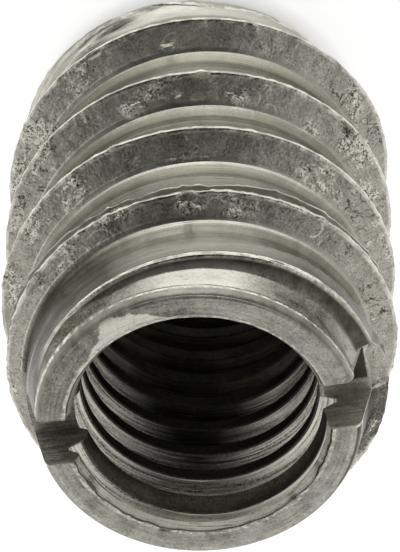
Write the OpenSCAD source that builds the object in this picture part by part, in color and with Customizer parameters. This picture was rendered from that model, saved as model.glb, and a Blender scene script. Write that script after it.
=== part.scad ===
// Slotted self-tapping insert for wood: a turned steel bush with a coarse
// outside thread, a screwdriver slot in the upper end and a tapped through hole.
// Millimetres, +Z up. The origin is the centre of the lower (entry) end face,
// so the insert stands on that face with its slotted end uppermost.

/* [Body] */
// Overall length from the entry end to the slotted end
body_length = 20; // [17:0.5:26]
// Diameter over the thread crests
outer_diameter = 14.7; // [13.8:0.1:16]
// Diameter of the body between the thread turns
core_diameter = 12.5; // [12.1:0.1:13]
// Diameter of the slotted end face, outside its broken edge
top_face_diameter = 11.3; // [11:0.1:11.5]
// Diameter of the entry end face, where the lead-in chamfer starts
entry_face_diameter = 11.2; // [10.9:0.1:11.4]
// Height of the tapered land below the slotted end
land_height = 1.8; // [1.4:0.1:2.4]

/* [Outside thread] */
// Axial distance between two turns of the right-hand outside thread
thread_pitch = 3.8; // [3.4:0.1:4.4]
// Angle of each thread flank from the square plane, in degrees
flank_angle = 30; // [24:1:34]
// Width of the flat left on the thread crest
crest_flat = 0.12; // [0.08:0.02:0.3]
// Distance of the last full crest below the slotted end
run_out_drop = 4.55; // [4.2:0.05:5]
// Direction in which that last full crest lies, in degrees from +X
run_out_bearing = 90; // [60:5:120]
// Height that the crest keeps in its last turn, before it fades away
run_out_height = 0.62; // [0.4:0.02:0.8]
// How much deeper the thread root lies where the thread starts, at the entry end
root_deepening = 0.37; // [0.2:0.01:0.38]
// Height over which the root comes up to the core diameter
root_rise_height = 3.2; // [2:0.1:4]

/* [Bore] */
// Diameter of the tapped hole over its thread crests
bore_diameter = 8.62; // [8.4:0.02:8.8]
// Diameter of the mouth at the slotted end
mouth_diameter = 9.65; // [9.3:0.05:9.9]
// Depth over which the hole flares below the mouth
flare_depth = 1.7; // [1.2:0.1:2.4]
// Diameter that the flare reaches where it meets the mouth's countersink
flare_diameter = 9.24; // [8.9:0.02:9.26]
// Diameter of the mouth at the entry end
entry_mouth_diameter = 10.2; // [9.6:0.1:10.4]

/* [Slot] */
// Width of the screwdriver slot
slot_width = 1.92; // [1.6:0.02:2.2]
// Depth of the screwdriver slot
slot_depth = 2.02; // [1.6:0.02:2.6]
// Direction of the slot, in degrees from +X
slot_bearing = 9.4; // [0:0.2:20]

/* [Hidden] */

eps = 0.01;
over_cut = 1;
round_fn = 96;

crest_r = outer_diameter / 2;
core_r = core_diameter / 2;
bore_r = bore_diameter / 2;
mouth_r = mouth_diameter / 2;
flare_r = flare_diameter / 2;
entry_mouth_r = entry_mouth_diameter / 2;
entry_r = entry_face_diameter / 2;
top_r = top_face_diameter / 2;

// the turned blank: broken edge, tapered land and lead-in chamfer
edge_break = 0.2;
edge_drop = 0.3;
lead_in_angle = 37;
spare_length = 3;
deep_root_height = 1;

// the thread ridge: a trapezoid section whose foot lies inside the core
foot_depth = 0.45;
foot_r = core_r - foot_depth;
flank_run = tan(flank_angle);
crest_half = crest_flat / 2;
foot_half = crest_half + (crest_r - foot_r) * flank_run;

// the helix: angle measured from the last full crest, positive towards the slot
steps_per_turn = 48;
step_angle = 360 / steps_per_turn;
last_crest_z = body_length - run_out_drop;
low_reach = last_crest_z + foot_half + eps;
turns_below = ceil(low_reach / thread_pitch * steps_per_turn) / steps_per_turn;
fade_start = -50;
fade_hold = 270;
fade_end = 420;
draw_back_height = 0.85;
steps_above = ceil(fade_end / step_angle);
steps_below = round(turns_below * steps_per_turn);

function mix(a, b, f) = a + (b - a) * f;
function ramp(x, a, b) = min(1, max(0, (x - a) / (b - a)));

// radius of the crest at an angle from the last full crest
function ridge_top(t) =
    t < fade_hold
    ? mix(crest_r, core_r + run_out_height, ramp(t, fade_start, fade_hold))
    : mix(core_r + run_out_height, foot_r + foot_depth / 2, ramp(t, fade_hold, fade_end));

// height of the middle of the ridge at that angle
function ridge_z(t) =
    last_crest_z + thread_pitch * t / 360 - draw_back_height * ramp(t, 0, fade_end);

// the section at an angle: two foot corners and two crest corners, going round
function ridge_section(t) =
    let (r = ridge_top(t), z = ridge_z(t),
         h = crest_half + (crest_r - r) * flank_run,
         a = t + run_out_bearing)
    [[foot_r * cos(a), foot_r * sin(a), z - foot_half],
     [r * cos(a), r * sin(a), z - h],
     [r * cos(a), r * sin(a), z + h],
     [foot_r * cos(a), foot_r * sin(a), z + foot_half]];

module thread_ridge() {
    n = steps_below + steps_above;
    points = [for (i = [0:n]) each ridge_section((i - steps_below) * step_angle)];
    sides = [for (i = [0:n - 1], k = [0:3])
        let (a = 4 * i + k, b = 4 * i + (k + 1) % 4)
        each [[a, b, b + 4], [a, b + 4, a + 4]]];
    ends = [[3, 2, 1, 0], [4 * n, 4 * n + 1, 4 * n + 2, 4 * n + 3]];
    polyhedron(points = points, faces = concat(sides, ends), convexity = 12);
}

// bar stock turned to the core, with the tapered land and broken edge at the
// slotted end and the deeper root at the entry end, where it runs on below the
// end face until the facing cut
module turned_blank() {
    rotate_extrude($fn = round_fn)
        polygon([
            [0, -spare_length],
            [core_r - root_deepening, -spare_length],
            [core_r - root_deepening, deep_root_height],
            [core_r, root_rise_height],
            [core_r, body_length - edge_drop - land_height],
            [top_r + edge_break, body_length - edge_drop],
            [top_r, body_length],
            [0, body_length]
        ]);
}

// one facing and chamfering cut through body and thread at the entry end
module entry_cut() {
    reach = crest_r + 2 * over_cut;
    drop = -3 * spare_length;
    rotate_extrude($fn = round_fn)
        polygon([
            [0, drop],
            [reach, drop],
            [reach, (reach - entry_r) / tan(lead_in_angle)],
            [entry_r, 0],
            [0, 0]
        ]);
}

// the through hole with a countersink at each end and the flare below the
// slotted end's countersink, as one solid of revolution
module bore() {
    mouth_depth = mouth_r - flare_r;
    entry_mouth_depth = entry_mouth_r - bore_r;
    rotate_extrude($fn = round_fn)
        polygon([
            [0, -over_cut],
            [entry_mouth_r + over_cut, -over_cut],
            [bore_r, entry_mouth_depth],
            [bore_r, body_length - flare_depth],
            [flare_r, body_length - mouth_depth],
            [mouth_r + over_cut, body_length + over_cut],
            [0, body_length + over_cut]
        ]);
}

module screwdriver_slot() {
    span = outer_diameter + 4 * over_cut;
    rotate([0, 0, slot_bearing])
        translate([-span / 2, -slot_width / 2, body_length - slot_depth])
            cube([span, slot_width, slot_depth + over_cut]);
}

module insert_body() {
    color([0.62, 0.61, 0.58])
        difference() {
            union() {
                turned_blank();
                thread_ridge();
            }
            entry_cut();
            bore();
            screwdriver_slot();
        }
}

insert_body();
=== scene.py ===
"""Finish of the slotted threaded insert: its threads, slot, burrs and bare steel."""

import math
from types import SimpleNamespace

import bmesh
import bpy
from mathutils import Matrix, Vector


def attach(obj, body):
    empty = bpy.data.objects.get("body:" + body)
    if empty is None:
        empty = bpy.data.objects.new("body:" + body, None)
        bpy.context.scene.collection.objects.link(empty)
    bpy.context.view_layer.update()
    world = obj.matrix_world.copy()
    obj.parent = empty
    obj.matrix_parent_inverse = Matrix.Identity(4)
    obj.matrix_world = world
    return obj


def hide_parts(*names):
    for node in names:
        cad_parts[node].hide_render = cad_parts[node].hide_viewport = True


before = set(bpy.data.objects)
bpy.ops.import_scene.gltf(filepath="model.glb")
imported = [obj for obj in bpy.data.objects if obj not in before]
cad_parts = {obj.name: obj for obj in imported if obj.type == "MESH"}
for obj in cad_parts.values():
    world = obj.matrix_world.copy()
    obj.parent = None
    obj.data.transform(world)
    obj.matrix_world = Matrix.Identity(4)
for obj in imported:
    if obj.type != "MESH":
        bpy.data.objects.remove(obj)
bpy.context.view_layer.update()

MM = 0.001
TURN = 2 * math.pi

# ---------------------------------------------------------------- sizes
# Lengths are in millimetres. Bearings are in turns round the axis, from +X.

# the turned blank
LENGTH = 20.0
CORE_R = 6.25
TOP_FACE_R = 5.65
ENTRY_FACE_R = 5.6
LEAD_IN_ANGLE = 37  # degrees
LAND_Z = 17.9  # where the tapered land starts
EDGE_WIDTH, EDGE_HEIGHT = 0.2, 0.3  # broken edge of the slotted end
ENTRY_DEEPENING = 0.37  # how much deeper the root lies at the entry end

# the outside thread; "turns" count from its last full crest and grow towards the slot
CREST_R = 7.35
PITCH = 3.8
FLANK_SLOPE = math.tan(math.radians(30))  # height of a flank for each mm of radius
CREST_FLAT = 0.12
LAST_CREST_Z = 15.45
LAST_CREST_BEARING = 0.25
FIRST_TURN, LAST_TURN = -4.75, 1.50
FLAT_FLANK_END = -3.45  # before it, the near flank lies flatter
FLAT_FLANK_EXTRA = 0.72
RUN_OUT = [  # turns, crest radius
    (-4.75, 5.8), (-4.02, 5.8), (-3.95, 6.5), (-3.90, 7.05), (-3.85, 7.35),
    (-0.60, 7.35), (-0.25, 7.30), (-0.147, 7.24), (0.0, 7.16), (0.083, 7.09),
    (0.167, 7.06), (0.24, 7.02), (0.31, 6.98), (0.45, 6.95), (0.60, 6.92),
    (0.70, 6.88), (0.762, 6.86), (0.788, 6.86), (0.802, 6.58), (0.86, 6.56),
    (0.908, 6.60), (1.0, 6.42), (1.083, 6.30), (1.17, 6.18), (1.30, 5.90),
]
DRAW_BACK = [  # turns, how far the crest lies below its helix
    (0.0, 0.0), (0.25, 0.12), (0.31, 0.30), (0.45, 0.50), (0.65, 0.70), (0.74, 0.76),
    (0.77, 1.05), (0.788, 1.03), (0.804, 0.76), (0.91, 0.70), (1.0, 0.83), (1.2, 0.85),
]
CREST_SPREAD = [  # turns, how much wider the crest is there
    (-0.20, 0.0), (-0.12, 0.18), (-0.06, 0.34), (-0.02, 0.12), (0.0, 0.08), (0.15, 0.06),
    (0.3, 0.0),
]
LAND_DROP = [  # turns, depth of the hollow behind the run-out
    (0.5, 0.0), (0.785, 0.0), (0.81, 0.20), (0.88, 0.14), (0.96, 0.07), (1.3, 0.05),
]
# turns, width of the painted shade in the hollow behind the run-out
HOLLOW_PAINTED_SHADE_WIDTH = [(0.81, 0.34), (0.83, 0.30), (0.88, 0.14), (1.0, 0.10), (1.2, 0.06)]

# the tapped hole
BORE_R = 4.31
TAP_ROOT_R = 5.0
TAP_PITCH = 1.5
TAP_CREST_FLAT = 0.516
TAP_CREST_Z = 17.218
TAP_CREST_BEARING = 0.75
BELL_MOUTH = [(18.3, 4.31), (18.55, 4.36), (18.9, 4.55), (19.2, 4.60), (19.85, 4.62)]
TAP_ROOT_CLOSES = (19.32, 19.62)  # heights between which the last groove fades
TAP_ROOT_CLOSING = 0.39
MOUTH_CUT = [(0, 19.3), (4.40, 19.3), (4.81, LENGTH), (5.27, 20.79), (0, 20.79)]
ENTRY_MOUTH_CUT = [(0, -0.8), (5.9, -0.8), (4.0, 1.1), (0, 1.1)]

# the screwdriver slot
SLOT_WIDTH = 1.92
SLOT_DEPTH = 2.02
SLOT_BEARING = math.radians(9.4)
SLOT_OFFSET = 0.11
SLOT_REACH = 18.0
SLOT_OVERCUT = 0.4

# how finely the surfaces are divided
STEPS = 288  # columns in one turn of the outside
TAP_STEPS = 216
THREAD_ROWS = [0, 6, 13, 16, 26, 32]  # root, far flank, crest, near flank, root
TAP_ROWS = [0, 3, 7, 8, 12]  # crest, flank, root, flank
TOP_RING_Z = 19.0
BASE_Z = -0.5
WELD_GAP = 0.002
SHARP_ANGLE = 24  # degrees


# ---------------------------------------------------------------- node formulas


class Field:
    """A value inside a node tree. Sums, products and so on become Math nodes."""

    def __init__(self, tree, socket):
        self.tree, self.socket = tree, socket

    def math(self, operation, *others, clamp=False):
        node = self.tree.nodes.new("ShaderNodeMath")
        node.operation, node.use_clamp = operation, clamp
        for socket, value in zip(node.inputs, (self, *others)):
            wire(self.tree, value, socket)
        return Field(self.tree, node.outputs[0])

    def __add__(self, other):
        return self.math("ADD", other)

    __radd__ = __add__

    def __mul__(self, other):
        return self.math("MULTIPLY", other)

    __rmul__ = __mul__

    def __sub__(self, other):
        return self.math("SUBTRACT", other)

    def __rsub__(self, other):
        return (self * -1.0) + other

    def __truediv__(self, other):
        return self.math("DIVIDE", other)

    def low(self, other):
        return self.math("MINIMUM", other)

    def high(self, other):
        return self.math("MAXIMUM", other)

    def size(self):
        return self.math("ABSOLUTE")

    def sin(self):
        return self.math("SINE")

    def cos(self):
        return self.math("COSINE")

    def whole(self):
        return self.math("ROUND")

    def clipped(self):
        """Kept between 0 and 1."""
        return self.math("ADD", 0.0, clamp=True)

    def ramp(self, start, end):
        """0 up to start, 1 from end on, straight between them."""
        return ((self - start) / (end - start)).clipped()


def wire(tree, value, socket):
    """Gives a socket its value: a field, another socket or a plain number."""
    if isinstance(value, Field):
        tree.links.new(value.socket, socket)
    elif isinstance(value, bpy.types.NodeSocket):
        tree.links.new(value, socket)
    else:
        socket.default_value = value


def add_node(tree, kind, inputs=None, **settings):
    node = tree.nodes.new(kind)
    for name, value in settings.items():
        setattr(node, name, value)
    for name, value in (inputs or {}).items():
        wire(tree, value, node.inputs[name])
    return node


def graded(field, points, smooth=False):
    """A value read from a short table of (position, value) pairs."""
    xs, ys = [p[0] for p in points], [p[1] for p in points]
    x0, x1, y0, y1 = min(xs), max(xs), min(ys), max(ys)
    node = field.tree.nodes.new("ShaderNodeFloatCurve")
    node.mapping.extend = "HORIZONTAL"
    curve = node.mapping.curves[0]
    flat = [((x - x0) / (x1 - x0), (y - y0) / (y1 - y0)) for x, y in points]
    while len(curve.points) < len(flat):
        curve.points.new(0.5, 0.5)
    for point, place in zip(curve.points, flat):
        point.location = place
        point.handle_type = "AUTO_CLAMPED" if smooth else "VECTOR"
    node.mapping.update()
    wire(field.tree, (field - x0) / (x1 - x0), node.inputs["Value"])
    return Field(field.tree, node.outputs[0]) * (y1 - y0) + y0


def band(field, low, high, soft):
    """1 between low and high, fading to 0 over soft on both sides."""
    return ((field - low) / soft + 1.0).clipped() * ((high - field) / soft + 1.0).clipped()


def blend(share, first, second):
    """first where share is 0, second where it is 1."""
    return (second - first) * share + first


def steady(tree, value):
    """The same value everywhere, as a field."""
    node = add_node(tree, "ShaderNodeValue")
    node.outputs[0].default_value = value
    return Field(tree, node.outputs[0])


def split_vector(tree, vector):
    """The three fields of a vector."""
    parts = add_node(tree, "ShaderNodeSeparateXYZ", {"Vector": vector}).outputs
    return [Field(tree, parts[axis]) for axis in "XYZ"]


def joined_vector(place):
    """One vector from three values, of which the first is a field."""
    node = add_node(place[0].tree, "ShaderNodeCombineXYZ", dict(zip("XYZ", place)))
    return node.outputs[0]


def measured(tree, operation, *vectors):
    """A number from vectors: the LENGTH of one, or the DOT_PRODUCT of two."""
    inputs = dict(enumerate(vectors))
    node = add_node(tree, "ShaderNodeVectorMath", inputs, operation=operation)
    return Field(tree, node.outputs["Value"])


def scaled(place, *sizes, shift=(0.0, 0.0, 0.0)):
    """A place with its three fields stretched (one size serves all three) and then shifted."""
    sizes = sizes * 3 if len(sizes) == 1 else sizes
    stretched = [field * size for field, size in zip(place, sizes)]
    return [field + by if by else field for field, by in zip(stretched, shift)]


def grain_at(tree, vector, detail, rough, scale=1.0):
    """Smooth noise from 0 to 1 at the place that a vector gives."""
    inputs = {"Vector": vector, "Scale": scale, "Detail": detail, "Roughness": rough}
    return Field(tree, add_node(tree, "ShaderNodeTexNoise", inputs).outputs[0])


def grain(place, detail, rough, scale=1.0):
    """Smooth noise from 0 to 1 at the place that three fields give."""
    return grain_at(place[0].tree, joined_vector(place), detail, rough, scale)


def chosen_place(usual, *zones):
    """The usual place, or a zone's own place where that zone's share is over one half."""
    tree = usual[0].tree
    place = joined_vector(usual)
    for share, own in zones:
        choice = add_node(tree, "ShaderNodeMix", data_type="VECTOR")
        wire(tree, share.math("GREATER_THAN", 0.5), choice.inputs[0])
        wire(tree, place, choice.inputs[4])
        wire(tree, joined_vector(own), choice.inputs[5])
        place = choice.outputs[1]
    return place


def mix_colour(tree, share, first, second):
    node = add_node(tree, "ShaderNodeMix", data_type="RGBA")
    wire(tree, share, node.inputs[0])
    wire(tree, first, node.inputs[6])
    wire(tree, second, node.inputs[7])
    return node.outputs[2]


# ---------------------------------------------------------------- shape trees


def placed_object(name, data):
    """A new object in the scene."""
    thing = bpy.data.objects.new(name, data)
    bpy.context.scene.collection.objects.link(thing)
    return thing


def plain_mesh(carrier, name):
    """The mesh that an object's modifiers make."""
    bpy.context.view_layer.update()
    ready = carrier.evaluated_get(bpy.context.evaluated_depsgraph_get())
    mesh = bpy.data.meshes.new_from_object(ready)
    mesh.name = name
    return mesh


def new_form(name, sizes):
    """An empty shape tree with named sizes: the tree, its sizes as fields, its starting mesh."""
    tree = bpy.data.node_groups.new(name, "GeometryNodeTree")
    tree.is_modifier = True
    tree.interface.new_socket("Geometry", in_out="OUTPUT", socket_type="NodeSocketGeometry")
    tree.interface.new_socket("Geometry", in_out="INPUT", socket_type="NodeSocketGeometry")
    for label in sizes:
        socket = tree.interface.new_socket(label, in_out="INPUT", socket_type="NodeSocketFloat")
        socket.default_value = sizes[label]
    entry = tree.nodes.new("NodeGroupInput")
    fields = {label: Field(tree, entry.outputs[label]) for label in sizes}
    return tree, fields, entry.outputs["Geometry"]


def close_form(tree, geometry):
    """Ends a shape tree: real geometry in bare steel."""
    output = tree.nodes.new("NodeGroupOutput")
    real = add_node(tree, "GeometryNodeRealizeInstances", {"Geometry": geometry})
    inputs = {"Geometry": real.outputs[0], "Material": bare_steel}
    dressed = add_node(tree, "GeometryNodeSetMaterial", inputs)
    tree.links.new(dressed.outputs[0], output.inputs[0])


def shape_from(tree, name, sizes, start=None):
    """Runs a shape tree once, on a starting mesh if one is given, and keeps a plain mesh."""
    carrier_name = name + "_carrier"
    carrier = placed_object(carrier_name, start or bpy.data.meshes.new(carrier_name))
    modifier = carrier.modifiers.new("form", "NODES")
    modifier.node_group = tree
    for item in tree.interface.items_tree:
        if item.item_type == "SOCKET" and item.in_out == "INPUT" and item.name in sizes:
            modifier[item.identifier] = sizes[item.name]
    mesh = plain_mesh(carrier, name)
    bpy.data.objects.remove(carrier)
    return placed_object(name, mesh)


def moved_by(tree, geometry, **inputs):
    """The geometry with a new Position, or shifted by an Offset."""
    inputs["Geometry"] = geometry
    return add_node(tree, "GeometryNodeSetPosition", inputs).outputs[0]


def grid_sheet(tree, columns, rows):
    """A flat sheet of points with its column share and row share, each 0 to 1."""
    inputs = {"Size X": 1.0, "Size Y": 1.0, "Vertices X": columns, "Vertices Y": rows}
    sheet = add_node(tree, "GeometryNodeMeshGrid", inputs).outputs["Mesh"]
    x, y, _ = split_vector(tree, add_node(tree, "GeometryNodeInputPosition").outputs[0])
    return sheet, x + 0.5, y + 0.5


def place_sheet(tree, sheet, radius, bearing, height):
    """Bends a sheet round the axis: each point gets its radius, bearing and height."""
    angle = bearing * TURN
    place = joined_vector((radius * angle.cos() * MM, radius * angle.sin() * MM, height * MM))
    return moved_by(tree, sheet, Position=place)


def join_weld(tree, sheets):
    """The sheets as one closed mesh."""
    joined = tree.nodes.new("GeometryNodeJoinGeometry")
    for sheet in reversed(sheets):
        tree.links.new(sheet, joined.inputs[0])
    inputs = {"Geometry": joined.outputs[0], "Distance": WELD_GAP * MM}
    return add_node(tree, "GeometryNodeMergeByDistance", inputs).outputs[0]


def between_stops(row, knots, stops):
    """Passes straight from stop to stop while the row passes from knot to knot."""
    value = stops[0]
    for k in range(len(knots) - 1):
        value = value + row.ramp(knots[k], knots[k + 1]) * (stops[k + 1] - stops[k])
    return value


# ---------------------------------------------------------------- places on the insert


def thread_place(bearing, z, crest_z, crest_bearing, pitch):
    """Where a point lies on a helix: turns from its marked crest, height above that crest."""
    rise = crest_z + (bearing - crest_bearing) * pitch
    lap = ((z - rise) / pitch).whole()
    return bearing - crest_bearing + lap, z - rise - lap * pitch


def ridge_section(turns):
    """The outside thread's crest radius, and how high its far and near crest edges lie."""
    top = graded(turns, RUN_OUT)
    spread = (CREST_R - top).low(0.9) * FLANK_SLOPE
    near = CREST_FLAT / 2 - graded(turns, DRAW_BACK) + spread * turns.ramp(0.3, 0.0)
    far = (near - CREST_FLAT - spread * 2.0 - graded(turns, CREST_SPREAD)).high(-1.5)
    return top, far, near


def near_slope(turns):
    """Height of the near flank for each mm of radius: more where the thread starts."""
    return turns.ramp(FLAT_FLANK_END, -3.62) * FLAT_FLANK_EXTRA + FLANK_SLOPE


def surface_place(tree, vector):
    """Where a point of the insert lies, along its axes and on its outside thread."""
    x, y, z = (field * (1 / MM) for field in split_vector(tree, vector))
    radius = (x * x + y * y).math("SQRT")
    bearing = y.math("ARCTAN2", x) / TURN
    turns, off_crest = thread_place(bearing, z, LAST_CREST_Z, LAST_CREST_BEARING, PITCH)
    top, far, near = ridge_section(turns)
    return SimpleNamespace(
        x=x, y=y, z=z, radius=radius, bearing=bearing, turns=turns, off_crest=off_crest,
        far=far, near=near, behind=off_crest - near, over_top=radius - top,
        spot=(x, y, z), helix=(turns, off_crest, radius),
    )


def slot_place(at):
    """The same point along the slot and across it."""
    cos, sin = math.cos(SLOT_BEARING), math.sin(SLOT_BEARING)
    return at.x * cos + at.y * sin, at.y * cos - at.x * sin - SLOT_OFFSET


# ---------------------------------------------------------------- bare steel

# painted reflection: how light the land and the root are drawn round the insert, by bearing;
# lightest on the side towards the camera, darker at the sides
LAND_PAINTED_LIGHT = [
    (-0.5, 0.40), (-0.4, 0.30), (-0.25, 0.30), (-0.05, 0.18), (0.0, 0.22), (0.06, 0.35),
    (0.083, 0.35), (0.115, 0.12), (0.16, 0.16), (0.19, 0.40), (0.22, 0.95), (0.28, 0.95),
    (0.31, 0.45), (0.35, 0.14), (0.39, 0.05), (0.44, 0.18), (0.5, 0.35),
]
ROOT_PAINTED_LIGHT = [
    (-0.5, 0.8), (0.0, 0.9), (0.09, 0.62), (0.15, 0.75), (0.2, 1.0), (0.25, 1.15), (0.3, 0.9),
    (0.35, 0.62), (0.41, 0.40), (0.5, 0.7),
]
# painted reflection: how light the root is drawn across the thread, by height from the crest, with
# a bright strip by the foot of the near flank
ROOT_SECTION_PAINTED = [
    (-1.9, 0.30), (-0.8, 0.26), (0.6, 0.5), (0.72, 0.85), (1.2, 0.80), (1.4, 0.32), (1.9, 0.30),
]
# painted light, by height: how much lighter the flanks on the camera side are drawn towards the
# back of the thread
FAR_DOWN_PAINTED_LIGHT = [(2.0, 0.25), (8.0, 0.12), (13.0, 0.0), (16.0, 0.0)]
# painted shading on the flanks facing the camera, by distance from the near crest edge: darker by
# the crest, lighter towards the root
FLANK_PAINTED_GRADIENT = [(0.0, -0.08), (0.35, -0.02), (0.65, 0.16)]
# painted light and shade, by height in the hole: how far round the painted shade reaches, and how
# light the grooves are drawn
BORE_SHADOW = [
    (9.0, 1.05), (12.0, 0.70), (13.5, 0.50), (15.0, 0.33), (16.5, 0.08), (18.0, -0.5),
    (19.5, -1.0),
]
BORE_LIGHT = [(10.0, 0.1), (12.0, 0.4), (13.5, 0.8), (15.0, 0.95), (18.0, 1.0), (19.9, 1.0)]
# edge of the brighter wedge on the end face: bearing, radius
WEDGE = [
    (0.265, 4.7), (0.29, 5.0), (0.33, 5.55), (0.352, 5.78), (0.364, 5.35), (0.38, 5.05),
    (0.40, 4.9), (0.5, 4.88),
]
# by bearing: where the flanks tore more or less while they were cut
TORN_SIDES = [
    (-0.5, -0.04), (0.0, 0.02), (0.05, 0.04), (0.12, 0.02), (0.2, -0.04), (0.3, -0.03),
    (0.35, 0.06), (0.42, 0.02), (0.5, -0.04),
]
CURL_MARKS = [  # middle, size and side of the thin curls on the flanks
    ((-0.96, 6.55, 4.66), 0.45, (-1.0, 0.2, -0.2)), ((1.93, 6.36, 8.08), 0.32, (1.0, 0.0, 0.0)),
    ((2.55, 5.80, 8.2), 0.30, (0.9, 0.4, 0.0)), ((-3.5, 5.45, 16.4), 0.5, (0.2, 0.9, -0.4)),
    ((0.59, 6.70, 15.82), 0.30, (0.0, 0.9, -0.4)), ((4.1, 5.5, 15.4), 0.35, (0.6, -0.8, 0.0)),
]
# dark and light ends of the metal's colour; besides stains and burnish they carry painted shade
# and painted highlight
STAIN_AND_SHADE = (0.072, 0.068, 0.050, 1)
BURNISH_AND_HIGHLIGHT = (0.80, 0.785, 0.69, 1)
WARM_TINT = (0.56, 0.49, 0.45, 1)


def metal_grain(at):
    """Grain of the metal itself, from large patches down to fine sparks."""
    fine = grain(scaled(at.spot, 12.0), 1.0, 0.6)
    return SimpleNamespace(
        patches=grain(scaled(at.spot, 0.45), 3.0, 0.6),
        mottle=grain(scaled(at.spot, 1.7), 3.0, 0.64),
        specks=grain(scaled(at.spot, 5.0), 1.5, 0.6),
        fine=fine,
        sparks=fine.ramp(0.56, 0.68) - fine.ramp(0.44, 0.32),
        helix_bands=grain(scaled(at.helix, 2.0, 1.7, 1.0), 1.0, 0.5),
        tints=grain(scaled(at.spot, 0.7, 0.7, 1.4, shift=(31.0, 0.0, 0.0)), 1.0, 0.5),
    )


def steel_zones(at, metal):
    """The parts of the surface, each as a share from 0 (off it) to 1 (on it)."""
    z, radius, turns, behind, off_crest = at.z, at.radius, at.turns, at.behind, at.off_crest
    half_slot = SLOT_WIDTH / 2
    slot = band(at.slot_y, -half_slot - 0.03, half_slot + 0.03, 0.02) * z.ramp(17.86, 17.9)
    slot_lip = band(at.slot_y, -half_slot - 0.11, -half_slot, 0.04) * radius.ramp(5.5, 5.7)
    slot_lip = slot_lip * z.ramp(17.5, 17.6) * (1.0 - slot)
    bore = radius.ramp(5.12, 5.06) * z.ramp(19.93, 19.86) * (1.0 - slot)
    face = z.ramp(19.94, 19.98) * (1.0 - slot)
    outside = (1.0 - face) * (1.0 - bore)

    behind_run_out = turns.ramp(0.66, 0.70) * (at.near - off_crest).ramp(0.03, 0.10)
    ridge = radius.ramp(CORE_R + 0.02, CORE_R + 0.25) * outside * (1.0 - behind_run_out)
    crest_flat = band(off_crest, at.far + 0.07, at.near - 0.12, 0.04)
    crest_flat = crest_flat * at.over_top.ramp(-0.12, -0.06) * turns.ramp(0.7, 0.4) * ridge
    flank = ridge * (1.0 - crest_flat)

    # the worn crest edges; the near one is broken where the run-out is torn
    last_rise = turns.ramp(0.82, 0.92) * (1.0 - turns.ramp(1.0, 1.10) * 0.8)
    near_edge = band(off_crest, at.near - 0.10 - last_rise * 0.10, at.near + 0.06, 0.04)
    near_edge = near_edge * at.over_top.ramp(-0.16, -0.05)
    near_edge = near_edge * (1.0 - band(turns, 0.70, 0.80, 0.01))
    near_edge = near_edge * (turns.ramp(0.7, 0.69).high(turns.ramp(0.80, 0.90)) * 0.6 + 0.4)
    near_edge = near_edge * turns.ramp(1.24, 1.12) * outside
    far_edge = band(off_crest, at.far - 0.05, at.far + 0.06, 0.03)
    far_edge = far_edge * at.over_top.ramp(-0.14, -0.04) * ridge

    # below the crest: the land by the slot, the root, and the hollow behind the run-out
    by_ridge = band(turns, 0.55, 1.30, 0.02)
    land = blend(by_ridge, z - 17.95, behind).ramp(0.0, 0.08) * (1.0 - ridge) * outside
    ragged = (metal.mottle - 0.5) * 0.02
    hollow = ((graded(turns, HOLLOW_PAINTED_SHADE_WIDTH) - behind) * 5.0 + 1.0).clipped()
    hollow = hollow * behind.ramp(0.0, 0.04) * band(turns + ragged, 0.806, 1.28, 0.01)
    # painted highlight: a thin light line where the near flank meets the root, towards -X
    painted_foot_highlight = band(radius, CORE_R + 0.20, CORE_R + 0.22, 0.03) * behind.ramp(0.2, 0.3)
    painted_foot_highlight = painted_foot_highlight * at.bearing.ramp(0.24, 0.36) * turns.ramp(0.62, 0.5) * outside

    bore_crest = (graded(z, BELL_MOUTH) + 0.07 - radius).ramp(0.0, 0.03)
    lips = band(z, 19.57, 19.66, 0.05) * (1.0 - bore) * (1.0 - slot)
    lips = lips + band(radius, 4.78, 4.90, 0.04) * face * 0.8
    lips = lips + band(radius, 5.50, 5.62, 0.06) * face * at.bearing.ramp(0.25, 0.2) * 0.25
    worn = (metal.specks + metal.patches - 0.5).ramp(0.35, 0.60) * 0.6 + 0.4
    return SimpleNamespace(
        slot=slot, bore=bore, face=face, outside=outside, flank=flank, crest_flat=crest_flat,
        crest_edge=(near_edge + far_edge * 0.5 * turns.ramp(0.5, 0.3)).low(1.0),
        entry_flank=turns.ramp(FLAT_FLANK_END, -3.7) * flank,
        land=land, root=(1.0 - ridge) * (1.0 - land) * outside, hollow=hollow,
        rim=z.ramp(19.64, 19.70) * outside, painted_foot_highlight=painted_foot_highlight,
        bore_crest=bore_crest * bore * z.ramp(19.32, 19.22), mouth=z.ramp(19.1, 19.35),
        lips=(lips + slot_lip) * worn,
    )


def tool_lines(tree, at, zone):
    """Fine lines that run the way each zone was cut."""
    tap_turns, off_tap = thread_place(
        at.bearing, at.z, TAP_CREST_Z, TAP_CREST_BEARING, TAP_PITCH
    )
    place = chosen_place(
        scaled(at.helix, 3.0, 5.0, 3.0),
        (zone.face, (at.bearing * 9.0, at.radius * 9.0, 0.0)),
        (zone.bore, scaled((tap_turns, off_tap, at.radius), 5.0, 11.0, 11.0)),
        (zone.slot, scaled((at.slot_x, at.slot_y, at.z), 0.6, 5.0, 5.5)),
        (zone.entry_flank, scaled(at.helix, 3.0, 6.0, 4.0)),
        (zone.crest_edge, scaled(at.helix, 90.0, 4.0, 2.0)),
    )
    return grain_at(tree, place, 3.0, 0.68)


def arc_mark(tree, spot, centre, size, towards):
    """A thin curl: the part of a circle that lies towards one side of its centre."""
    inputs = {0: spot, 1: centre}
    offset = add_node(tree, "ShaderNodeVectorMath", inputs, operation="SUBTRACT").outputs[0]
    away = measured(tree, "LENGTH", offset)
    side = measured(tree, "DOT_PRODUCT", offset, towards)
    return band(away, size - 0.02, size + 0.02, 0.03) * side.ramp(size * 0.1, size * 0.4)


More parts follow.
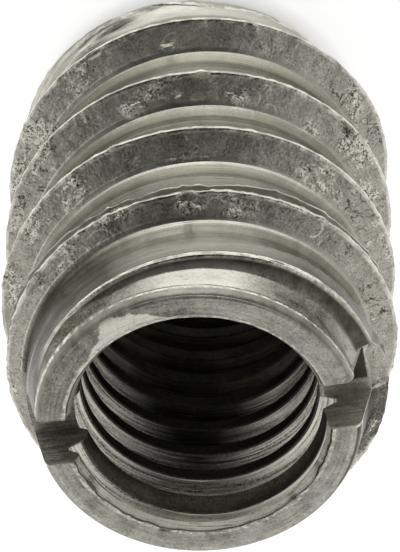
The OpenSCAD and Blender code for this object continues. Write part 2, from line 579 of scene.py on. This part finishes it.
def flank_marks(tree, at, zone):
    """What the cutting left on the flanks: torn patches, curls and cracks."""
    sides = graded(at.bearing, TORN_SIDES)
    torn = (grain(scaled(at.spot, 0.55), 2.0, 0.5) + sides).ramp(0.52, 0.62)
    torn = torn * grain(scaled(at.helix, 26.0, 1.8, 1.8), 2.0, 0.6).ramp(0.42, 0.56)
    torn = torn * (1.0 - band(at.turns, 0.72, 0.85, 0.02))
    curl_path = grain(scaled(at.spot, 1.5, shift=(0.0, 0.0, 9.0)), 3.0, 0.6)
    curls = band(curl_path, 0.492, 0.508, 0.012) * (torn + 0.12) * zone.flank
    spot = joined_vector(at.spot)
    for middle, size, towards in CURL_MARKS:
        curls = curls.high(arc_mark(tree, spot, middle, size, towards) * zone.flank * 0.6)
    crack_path = grain(scaled(at.spot, 1.3, 1.3, 0.45, shift=(7.0, 0.0, 0.0)), 4.0, 0.62)
    crack_sides = band(at.bearing, 0.42, 0.5, 0.04).high(band(at.bearing, 0.03, 0.10, 0.03))
    crack_spots = grain(scaled(at.spot, 0.5, shift=(3.0, 0.0, 0.0)), 1.0, 0.5)
    cracks = band(crack_path, 0.494, 0.506, 0.014) * crack_sides * zone.flank
    return torn, curls, cracks * crack_spots.ramp(0.50, 0.58)


# Each shade says how light the bare metal is drawn, from 0 (stained metal, painted shade) to 1
# (burnished metal, painted highlight).


def root_shade(at, metal, lines):
    # painted shade: the root drawn darker away from the camera side, near the slotted end
    painted_shade_by_end = at.z.ramp(15.6, 16.8) * (1.0 - band(at.bearing, 0.2, 0.3, 0.06))
    # painted reflection: the root drawn with a bright strip by the near flank's foot, and lighter
    # towards the camera
    shade = graded(at.off_crest, ROOT_SECTION_PAINTED) * graded(at.bearing, ROOT_PAINTED_LIGHT)
    shade = shade - painted_shade_by_end * (0.16 + at.bearing.ramp(0.3, 0.35) * 0.20)
    shade = shade + (metal.helix_bands - 0.5) * 0.3
    return shade + (lines - 0.5) * (0.6 - at.z.ramp(15.0, 16.0) * 0.35)


def flank_shade(at, metal, zone, lines, marks):
    torn, curls, cracks = marks
    # painted light: flanks on the camera side drawn lighter towards the back of the thread
    painted_far_down = graded(at.z, FAR_DOWN_PAINTED_LIGHT) * band(at.bearing, 0.2, 0.3, 0.08)
    shade = 0.46 + painted_far_down + (metal.mottle - 0.5) * 0.55 + (metal.patches - 0.5) * 0.4
    shade = shade + metal.sparks * (torn + 0.22) + torn * 0.22 + curls * 0.9 - cracks * 0.60
    # painted shading: flanks facing the camera drawn darker by the crest, lighter towards the root
    shade = shade + graded(at.behind, FLANK_PAINTED_GRADIENT) * band(at.bearing, 0.12, 0.38, 0.05)
    flecks = metal.specks.ramp(0.54, 0.64) * 0.8 - metal.specks.ramp(0.44, 0.36) * 0.35
    return blend(zone.entry_flank, shade + torn * flecks, 0.45 + lines.ramp(0.35, 0.65) * 0.6)


def land_shade(at, metal, zone):
    # painted reflection: the land drawn lighter towards the camera and darker at the sides
    painted_land_light = graded(at.bearing, LAND_PAINTED_LIGHT)
    shade = painted_land_light + (metal.patches - 0.5) * 0.4
    shade = shade + (metal.mottle - 0.5) * 0.45 + metal.sparks * 0.12
    return blend(zone.rim, shade, painted_land_light * 0.3 + 0.14 + (metal.mottle - 0.5) * 0.5)


def face_shade(at, metal, lines):
    wedge = graded(at.bearing, WEDGE) - at.radius + (metal.mottle - 0.5) * 0.5
    wedge = wedge.ramp(-0.02, 0.03) * at.bearing.ramp(0.25, 0.27)
    shade = 0.42 + wedge * 0.45 + (lines - 0.5) * 0.6
    shade = shade + (metal.mottle - 0.5) * 0.8 + metal.sparks * 0.14
    return shade - band(at.bearing, 0.27, 0.48, 0.02) * (1.0 - wedge) * 0.18


def bore_shade(at, metal, zone, lines):
    """Painted light and shade in the hole: grooves drawn lit at the sides, darker deeper down;
    crests painted dark.
    """
    lit = ((at.x.size() / at.radius) - graded(at.z, BORE_SHADOW)).ramp(-0.22, 0.24)
    grooves = lines.ramp(0.36, 0.64) * 1.2 + 0.30 + metal.sparks * 0.35
    by_mouth = grooves * 0.9 + 0.35 + (metal.specks - 0.5) * 0.8
    grooves = blend(zone.mouth, grooves, by_mouth) * (lit * graded(at.z, BORE_LIGHT))
    return blend(zone.bore_crest, grooves, metal.sparks * 0.08 + 0.06)


def slot_shade(at, metal, lines):
    """Sawn walls and floor, lighter towards +X, with a painted shadow at one outer end of the
    floor and a lighter patch beyond it.
    """
    on_floor = at.z.ramp(18.12, 18.04) * at.x.ramp(5.0, 5.2) * at.slot_y.ramp(-0.42, -0.30)
    # painted shadow: a dark patch where a narrow groove would lie in shade
    painted_notch_shadow = band(at.slot_x, at.slot_y * 0.42 + 5.69, 6.10, 0.03) * on_floor
    shade = 0.34 + at.x.ramp(0.0, 2.0) * 0.22 - painted_notch_shadow * 0.75
    shade = shade + at.slot_x.ramp(6.12, 6.16) * on_floor * 0.2
    shade = shade + (lines - 0.5) * 0.7 + (metal.mottle - 0.5) * 0.5
    return shade + metal.sparks * 0.15


def steel_shade(at, metal, zone, lines, marks):
    """The zones' shades put together, with the worn edges over them."""
    shade = zone.flank * flank_shade(at, metal, zone, lines, marks)
    shade = shade + zone.crest_flat * ((metal.mottle - 0.5) * 0.3)
    shade = shade + zone.face * face_shade(at, metal, lines)
    shade = shade + zone.bore * bore_shade(at, metal, zone, lines)
    shade = shade + zone.root * root_shade(at, metal, lines)
    shade = shade + zone.land * land_shade(at, metal, zone) + zone.painted_foot_highlight * 0.45
    # painted shade: the hollow behind the run-out drawn near-black
    shade = blend(zone.hollow, shade, 0.03 + (metal.mottle - 0.5) * 0.3)
    # painted shade: the outside drawn darker just short of bearing 0, near the slotted end
    painted_dark_side = band(at.bearing, -0.07, 0.0, 0.01) * at.z.ramp(16.6, 16.9) * zone.outside
    shade = shade - painted_dark_side * 0.4
    shade = blend(zone.crest_edge, shade, 0.55 + lines.ramp(0.40, 0.60) * 0.60)
    shade = blend(zone.lips.low(1.0), shade, 0.5 + metal.specks.ramp(0.38, 0.62) * 0.55)
    return blend(zone.slot, shade, slot_shade(at, metal, lines)) + (metal.specks - 0.5) * 0.10


def steel_roughness(metal, zone):
    rough = 0.26 * zone.root + 0.40 * zone.flank + 0.45 * zone.crest_flat
    rough = rough + 0.34 * zone.land + 0.36 * zone.face + 0.24 * zone.bore
    rough = rough + zone.bore_crest * 0.3 + zone.hollow * zone.land * 0.15
    rough = rough + (zone.bore - zone.bore_crest) * (zone.mouth * 0.2 + 0.02)
    rough = blend(zone.slot, blend(zone.crest_edge, rough, 0.25), 0.5)
    rough = rough + (metal.patches - 0.5) * 0.15 + (metal.mottle - 0.5) * 0.12
    return rough.high(0.15).low(0.7)


def steel_relief(metal, zone, lines, torn):
    """Height of the fine marks, in millimetres."""
    line_depth = zone.root * 0.014 + (zone.bore - zone.bore_crest) * 0.03
    line_depth = line_depth + zone.entry_flank * 0.05 + zone.face * 0.02 + zone.slot * 0.05
    height = lines * (line_depth + zone.crest_edge * 0.03)
    height = height + metal.helix_bands * zone.root * 0.02
    height = height + metal.mottle * (zone.flank * 0.06 + (zone.face + zone.land) * 0.04)
    height = height + metal.fine * (torn * zone.flank * 0.03 + 0.004)
    return height + metal.specks * (zone.lips * 0.04 + torn * zone.flank * 0.05)


def bare_steel_material():
    """Turned and tapped mild steel: tool lines, torn flanks, roots and land with painted
    reflections, bright worn edges.
    """
    material = bpy.data.materials.new("bare_steel")
    material.use_nodes = True
    tree = material.node_tree
    shader = tree.nodes["Principled BSDF"]
    shader.inputs["Metallic"].default_value = 1.0

    at = surface_place(tree, add_node(tree, "ShaderNodeTexCoord").outputs["Object"])
    at.slot_x, at.slot_y = slot_place(at)
    metal = metal_grain(at)
    zone = steel_zones(at, metal)
    lines = tool_lines(tree, at, zone)
    marks = flank_marks(tree, at, zone)

    shade = steel_shade(at, metal, zone, lines, marks).ramp(0.0, 1.0)
    colour = mix_colour(tree, shade, STAIN_AND_SHADE, BURNISH_AND_HIGHLIGHT)
    colour = mix_colour(tree, metal.tints.ramp(0.5, 0.75) * 0.12, colour, WARM_TINT)
    wire(tree, colour, shader.inputs["Base Color"])
    wire(tree, steel_roughness(metal, zone), shader.inputs["Roughness"])
    relief = steel_relief(metal, zone, lines, marks[0])
    bump = add_node(tree, "ShaderNodeBump", {"Strength": 1.0, "Distance": MM, "Height": relief})
    wire(tree, bump.outputs[0], shader.inputs["Normal"])
    return material


bare_steel = bare_steel_material()


# ---------------------------------------------------------------- outside form


def outside_radius(size, bearing, z):
    """Radius of the outside at a bearing and height, with the helix worked out from them."""
    turns, off_crest = thread_place(
        bearing, z, size["Crest height"], size["Crest bearing"], size["Pitch"]
    )
    top, far, near = ridge_section(turns)
    behind = off_crest - near
    flank = top - ((far - off_crest) / FLANK_SLOPE).high(behind / near_slope(turns))
    core = size["Core radius"] - size["Entry taper"] * z.ramp(3.2, 1.0)
    taper = (CORE_R - TOP_FACE_R - EDGE_WIDTH) / (LENGTH - EDGE_HEIGHT - LAND_Z)
    land = core - (z - size["Land height"]).high(0.0) * taper
    land = land - graded(turns, LAND_DROP) * behind.ramp(0.0, 0.15)
    # small waves where the near flank was rolled flat
    rolled = turns.ramp(FLAT_FLANK_END, -3.65) * behind.ramp(0.05, 0.3)
    rolled = rolled * (flank - core).ramp(0.0, 0.2)
    flank = flank + (behind * 9.0 + turns * 12.0).sin() * rolled * 0.025
    fillet = turns.ramp(0.75, 0.55) * 0.24 + 0.06
    return flank.math("SMOOTH_MIN", top, 0.04).math("SMOOTH_MAX", land, fillet)


def thread_sheet(tree, size):
    """The threaded outside as one sheet whose rows follow the helix."""
    columns = round((LAST_TURN - FIRST_TURN) * STEPS) + 1
    sheet, along, across = grid_sheet(tree, columns, THREAD_ROWS[-1] + 1)
    turns = along * (LAST_TURN - FIRST_TURN) + FIRST_TURN
    top, far, near = ridge_section(turns)
    drop = (top - size["Core radius"] + turns.ramp(0.4, 0.7) * 0.32).high(0.02)
    half_pitch = size["Pitch"] * 0.5
    start = turns * size["Pitch"] + size["Crest height"]
    stops = [
        start - half_pitch,
        start + (far - drop * FLANK_SLOPE),
        start + far,
        start + near,
        start + (near + drop * near_slope(turns)),
        start + half_pitch,
    ]
    z = between_stops(across * THREAD_ROWS[-1], THREAD_ROWS, stops)
    z = z.high(size["Low end"]).low(size["High end"])
    bearing = turns + size["Crest bearing"]
    return place_sheet(tree, sheet, outside_radius(size, bearing, z), bearing, z)


def slotted_end_sheet(tree, size):
    """From the last thread rows over the broken edge to the middle of the end face."""
    heights = [
        (0, TOP_RING_Z), (5, 19.66), (6, 19.74), (7, 19.84), (8, 19.92), (9, 19.975),
        (10, LENGTH), (17, LENGTH),
    ]
    radii = [
        (5, 5.862), (6, 5.84), (7, 5.80), (8, 5.74), (9, 5.66), (10, 5.56), (16, 4.2), (17, 0.0),
    ]
    rows = heights[-1][0]
    sheet, along, across = grid_sheet(tree, STEPS + 1, rows + 1)
    row = across * rows
    bearing = along + size["Crest bearing"]
    ring = outside_radius(size, bearing, steady(tree, TOP_RING_Z))
    radius = graded(row, radii) + row.ramp(radii[0][0], 0) * (ring - radii[0][1])
    return place_sheet(tree, sheet, radius, bearing, graded(row, heights))


def base_sheet(tree, size):
    """The entry end, closed below where it will be faced off."""
    sheet, along, across = grid_sheet(tree, STEPS + 1, 2)
    bearing = along + size["Crest bearing"]
    level = steady(tree, BASE_Z)
    return place_sheet(tree, sheet, outside_radius(size, bearing, level) * across, bearing, level)


def outside_form():
    """The threaded blank before it is faced, bored and slotted."""
    sizes = {
        "Pitch": PITCH,
        "Core radius": CORE_R,
        "Crest height": LAST_CREST_Z,
        "Crest bearing": LAST_CREST_BEARING,
        "Land height": LAND_Z,
        "Entry taper": ENTRY_DEEPENING,
        "Low end": BASE_Z,
        "High end": TOP_RING_Z,
    }
    tree, size, _ = new_form("outside_thread", sizes)
    sheets = [sheet(tree, size) for sheet in (thread_sheet, slotted_end_sheet, base_sheet)]
    close_form(tree, join_weld(tree, sheets))
    return shape_from(tree, "outside", sizes)


# ---------------------------------------------------------------- cutters


def tapped_form():
    """The space that the tap leaves, as a solid that reaches past both ends."""
    sizes = {
        "Pitch": TAP_PITCH,
        "Crest radius": BORE_R,
        "Root radius": TAP_ROOT_R,
        "Crest flat": TAP_CREST_FLAT,
        "Crest height": TAP_CREST_Z,
        "Crest bearing": TAP_CREST_BEARING,
    }
    tree, size, _ = new_form("tapped_hole", sizes)
    low, high = -1.0, LENGTH + 1.0
    half = size["Crest flat"] * 0.5

    def radius_at(bearing, z):
        _, off_crest = thread_place(
            bearing, z, size["Crest height"], size["Crest bearing"], size["Pitch"]
        )
        flank = (off_crest.size() - half) / FLANK_SLOPE + size["Crest radius"]
        root = size["Root radius"] - z.ramp(*TAP_ROOT_CLOSES) * TAP_ROOT_CLOSING
        return flank.high(graded(z, BELL_MOUTH)).math("SMOOTH_MIN", root, 0.06)

    def crest_edge(middle, side):
        """Height of one edge of a crest, which is wider where the bell mouth cut it back."""
        worn = graded(middle + half * side + 0.08 * side, BELL_MOUTH) - BORE_R
        return middle + (half + worn * FLANK_SLOPE) * side

    first = math.floor((low - TAP_CREST_Z - TAP_PITCH) / TAP_PITCH)
    last = math.ceil((high - TAP_CREST_Z) / TAP_PITCH)
    sheet, along, across = grid_sheet(tree, (last - first) * TAP_STEPS + 1, TAP_ROWS[-1] + 1)
    turns = along * (last - first) + first
    run = (size["Root radius"] - size["Crest radius"]) * FLANK_SLOPE
    start = turns * size["Pitch"] + size["Crest height"]
    above = start + size["Pitch"]
    stops = [
        crest_edge(start, -1.0),
        crest_edge(start, 1.0),
        start + half + run,
        above - half - run,
        crest_edge(above, -1.0),
    ]
    z = between_stops(across * TAP_ROWS[-1], TAP_ROWS, stops).high(low).low(high)
    bearing = turns + size["Crest bearing"]
    sheets = [place_sheet(tree, sheet, radius_at(bearing, z), bearing, z)]

    for level, faces_down in ((low, True), (high, False)):
        sheet, along, across = grid_sheet(tree, TAP_STEPS + 1, 2)
        share = across if faces_down else 1.0 - across
        bearing, z = along + size["Crest bearing"], steady(tree, level)
        sheets.append(place_sheet(tree, sheet, radius_at(bearing, z) * share, bearing, z))
    close_form(tree, join_weld(tree, sheets))
    return shape_from(tree, "tapped_hole", sizes)


def turned_cutter(name, profile):
    """A solid of revolution from (radius, height) points that start and end on the axis."""
    mesh = bmesh.new()
    directions = [(math.cos(TURN * k / STEPS), math.sin(TURN * k / STEPS)) for k in range(STEPS)]
    rings = []
    for radius, height in profile:
        if radius == 0:
            rings.append([mesh.verts.new((0, 0, height * MM))] * STEPS)
        else:
            places = [(radius * MM * x, radius * MM * y, height * MM) for x, y in directions]
            rings.append([mesh.verts.new(place) for place in places])
    for lower, upper in zip(rings, rings[1:]):
        for k in range(STEPS):
            j = (k + 1) % STEPS
            # on the axis two corners are the same point
            mesh.faces.new(list(dict.fromkeys((lower[k], lower[j], upper[j], upper[k]))))
    bmesh.ops.recalc_face_normals(mesh, faces=mesh.faces)
    data = bpy.data.meshes.new(name)
    mesh.to_mesh(data)
    mesh.free()
    return placed_object(name, data)


def entry_cutter():
    """Faces off the entry end and cuts its lead-in cone."""
    reach = CREST_R + 2
    cone_top = (reach - ENTRY_FACE_R) / math.tan(math.radians(LEAD_IN_ANGLE))
    profile = [(0, -3), (reach, -3), (reach, cone_top), (ENTRY_FACE_R, 0), (0, 0)]
    return turned_cutter("entry_cut", profile)


def slot_cutter():
    """A slightly rough block as wide and deep as the screwdriver slot."""
    sizes = {
        "Width": SLOT_WIDTH,
        "Depth": SLOT_DEPTH,
        "Bearing": SLOT_BEARING,
        "Offset": SLOT_OFFSET,
    }
    tree, size, _ = new_form("screwdriver_slot", sizes)
    divisions = {"Vertices X": 150, "Vertices Y": 16, "Vertices Z": 22}
    block = add_node(tree, "GeometryNodeMeshCube", divisions)
    block.inputs["Size"].default_value = (1, 1, 1)
    x, y, z = split_vector(tree, add_node(tree, "GeometryNodeInputPosition").outputs[0])
    wall_side = y.math("SIGN")
    x = x * SLOT_REACH
    y = y * size["Width"] + size["Offset"]
    z = (z - 0.5) * (size["Depth"] + SLOT_OVERCUT) + LENGTH + SLOT_OVERCUT
    rough = grain(scaled((x, y, z), 0.5, 3.0, 3.0), 3.0, 0.5, scale=2.0) - 0.5
    y = y + wall_side * rough * 0.05
    cos, sin = size["Bearing"].cos(), size["Bearing"].sin()
    place = (x * cos - y * sin, x * sin + y * cos, z + rough * 0.04)
    position = joined_vector(scaled(place, MM))
    close_form(tree, moved_by(tree, block.outputs["Mesh"], Position=position))
    return shape_from(tree, "screwdriver_slot", sizes)


def cut_away(body, cutters, name):
    """Takes the cutters out of the body and keeps the result as one plain mesh."""
    for cutter in cutters:
        modifier = body.modifiers.new(cutter.name, "BOOLEAN")
        modifier.operation, modifier.solver, modifier.object = "DIFFERENCE", "MANIFOLD", cutter
    mesh = plain_mesh(body, name)
    for shape in [body, *cutters]:
        bpy.data.objects.remove(shape)
    return mesh


# ---------------------------------------------------------------- wear

CREST_BURRS = [  # turns, height of the single burrs
    (0.008, 0.16), (0.16, 0.10), (-0.105, 0.12), (-2.0, 0.10), (-0.93, 0.10),
]


def worn_surface(mesh, name):
    """Moves the finished surface a little: torn flanks, crest burrs, pits and small dents."""
    sizes = {
        "Tear depth": 0.07,
        "Burr height": 0.08,
        "Pit depth": 0.10,
        "Dent depth": 0.03,
    }
    tree, size, start = new_form("wear", sizes)
    at = surface_place(tree, add_node(tree, "GeometryNodeInputPosition").outputs[0])
    outer = at.radius.ramp(5.7, 5.85) * at.z.ramp(19.6, 19.3)
    flank = outer * at.radius.ramp(CORE_R + 0.10, CORE_R + 0.40)
    crest = outer * at.over_top.ramp(-0.14, -0.02) * at.turns.ramp(0.9, 0.7)

    # torn patches: rough metal in loose groups on the flanks
    groups = grain(scaled(at.spot, 0.55), 2.0, 0.5).ramp(0.52, 0.66)
    rough = grain(scaled(at.spot, 2.6), 3.0, 0.65) - 0.5
    tears = rough * (groups * 1.6 + 0.25) * flank * size["Tear depth"] * 2.2

    # burrs along the crest edges, heavier near the last full turn, and single ones
    beads = grain((at.turns * 110.0, at.off_crest * 1.5, 0.0), 1.0, 0.5)
    heavy = at.turns.ramp(-1.2, -0.5) * 0.6 + 0.4
    burrs = (beads.ramp(0.45, 0.75) - 0.15) * crest * heavy * size["Burr height"]
    by_edge = at.behind.size().ramp(0.16, 0.04)
    for turns, height in CREST_BURRS:
        along_crest = (at.turns - turns).size() * 43.0
        burrs = burrs + along_crest.ramp(0.28, 0.06) * by_edge * crest * height

    # pits: small holes, drawn out along the helix
    pits = grain(scaled(at.helix, 26.0, 2.6, 2.6), 1.0, 0.5).ramp(0.70, 0.80)
    pits = pits * flank * size["Pit depth"]

    # dents, and the lip of the tapped hole, pushed over unevenly
    dents = (grain(scaled(at.spot, 0.8), 1.0, 0.5) - 0.5) * outer * size["Dent depth"] * 2.0
    lip = (at.radius - 4.85).size().ramp(0.18, 0.05) * at.z.ramp(19.7, 19.85)
    lip = lip * (at.y.ramp(2.0, -1.0) * 0.8 + 0.2)
    dents = dents + (grain(scaled(at.spot, 1.3), 2.0, 0.6) - 0.5) * lip * 0.35

    push = add_node(tree, "ShaderNodeVectorMath", operation="SCALE")
    wire(tree, add_node(tree, "GeometryNodeInputNormal").outputs[0], push.inputs[0])
    wire(tree, (tears + burrs - pits + dents) * MM, push.inputs["Scale"])
    close_form(tree, moved_by(tree, start, Offset=push.outputs[0]))
    return shape_from(tree, name, sizes, start=mesh)


# ---------------------------------------------------------------- the insert

blank = outside_form()
cutters = [
    entry_cutter(),
    tapped_form(),
    turned_cutter("mouth_cut", MOUTH_CUT),
    turned_cutter("entry_mouth_cut", ENTRY_MOUTH_CUT),
    slot_cutter(),
]
insert = worn_surface(cut_away(blank, cutters, "turned_insert"), "insert_body_steel")
insert.data.shade_smooth()
insert.data.set_sharp_from_angle(angle=math.radians(SHARP_ANGLE))
insert.data.materials.clear()
insert.data.materials.append(bare_steel)
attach(insert, "root")
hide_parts("insert_body")

# ---------------------------------------------------------------- floor, light, camera

FLOOR_HALF_WIDTH = 0.6  # metres
FLOOR_LIFT = 0.7
FLOOR_GREY = (0.85, 0.85, 0.85, 1)
WHITE = (1, 1, 1, 1)
# painted shadow: the floor's glow is turned down under the insert, to a small share at the middle
SHADOW_UNDER_INSERT = (5.0, 6.5)  # mm from the axis: the floor's own light fades in between them
SHADOW_UNDER_INSERT_LEAST = 0.15

# the camera looks down at the slotted end from the +Y side
CAMERA_LENS = 267.97
CAMERA_TILT = 0.6086  # radians between the line of sight and the insert's axis
CAMERA_ROLL = -0.003
AIM_Z = 19.706
AIM_IN_VIEW = (-0.0038, 0.7094, 20.0166)  # right, down and away, in crest radii
CAMERA_SIDE = (0.0, math.sin(CAMERA_TILT), math.cos(CAMERA_TILT))

# brightness of the tent, by the cosine of the angle from the camera's direction
TENT_LEVELS = [
    (-1.0, 0.9), (0.0, 0.85), (0.17, 0.82), (0.45, 0.74), (0.6, 0.60), (0.8, 0.31),
    (0.9, 0.11), (0.96, 0.03), (1.0, 0.01),
]
FRONT_LIGHT = 0.8


def white_floor_material():
    """White paper: seen and mirrored as white, still darker where the insert shades it, and with a
    painted shadow under the insert where its glow is turned down.
    """
    material = bpy.data.materials.new("white_floor")
    material.use_nodes = True
    tree = material.node_tree
    shader = tree.nodes["Principled BSDF"]
    shader.inputs["Base Color"].default_value = FLOOR_GREY
    shader.inputs["Roughness"].default_value = 0.9
    shader.inputs["Specular IOR Level"].default_value = 0.0
    shader.inputs["Emission Color"].default_value = WHITE
    rays = add_node(tree, "ShaderNodeLightPath").outputs
    seen = Field(tree, rays["Is Camera Ray"]).high(rays["Is Glossy Ray"])
    seen = seen.high(rays["Is Transmission Ray"])
    place = add_node(tree, "ShaderNodeTexCoord").outputs["Object"]
    # painted shadow: share of the floor's glow, low under the insert
    open_floor = (measured(tree, "LENGTH", place) / MM).ramp(*SHADOW_UNDER_INSERT)
    open_floor = open_floor * (1 - SHADOW_UNDER_INSERT_LEAST) + SHADOW_UNDER_INSERT_LEAST
    wire(tree, seen * open_floor * FLOOR_LIFT, shader.inputs["Emission Strength"])
    return material


def white_floor():
    mesh = bmesh.new()
    bmesh.ops.create_grid(mesh, x_segments=1, y_segments=1, size=FLOOR_HALF_WIDTH)
    data = bpy.data.meshes.new("floor")
    mesh.to_mesh(data)
    mesh.free()
    data.materials.append(white_floor_material())
    return placed_object("floor", data)


def studio_world():
    """A soft tent: bright all round, dim where the camera and its stand are."""
    world = bpy.data.worlds.new("studio")
    world.use_nodes = True
    tree = world.node_tree
    direction = add_node(tree, "ShaderNodeTexCoord").outputs["Generated"]
    level = graded(measured(tree, "DOT_PRODUCT", direction, CAMERA_SIDE), TENT_LEVELS, smooth=True)
    _, ahead, _ = split_vector(tree, direction)
    background = tree.nodes["Background"]
    background.inputs["Color"].default_value = WHITE
    wire(tree, level + ahead.ramp(0.80, 0.97) * FRONT_LIGHT, background.inputs["Strength"])
    return world


def set_camera():
    """A long lens, placed from a point on the insert's axis just below the slotted end."""
    data = bpy.data.cameras.new("camera")
    data.sensor_width, data.sensor_fit = 36.0, "AUTO"
    data.lens = CAMERA_LENS
    data.clip_start, data.clip_end = 0.01, 10
    camera = placed_object("camera", data)
    cos, sin = math.cos(CAMERA_TILT), math.sin(CAMERA_TILT)
    right, down, ahead = Vector((1, 0, 0)), Vector((0, -cos, sin)), Vector((0, -sin, -cos))
    across, below, away = AIM_IN_VIEW
    place = Vector((0, 0, AIM_Z)) - CREST_R * (across * right + below * down + away * ahead)
    cos, sin = math.cos(CAMERA_ROLL), math.sin(CAMERA_ROLL)
    right, down = cos * right + sin * down, cos * down - sin * right
    turn = Matrix((right, -down, -ahead)).transposed().to_4x4()
    camera.matrix_world = Matrix.Translation(place * MM) @ turn
    bpy.context.scene.camera = camera


floor = white_floor()
bpy.context.scene.world = studio_world()
set_camera()
bpy.context.scene.view_settings.view_transform = "Standard"
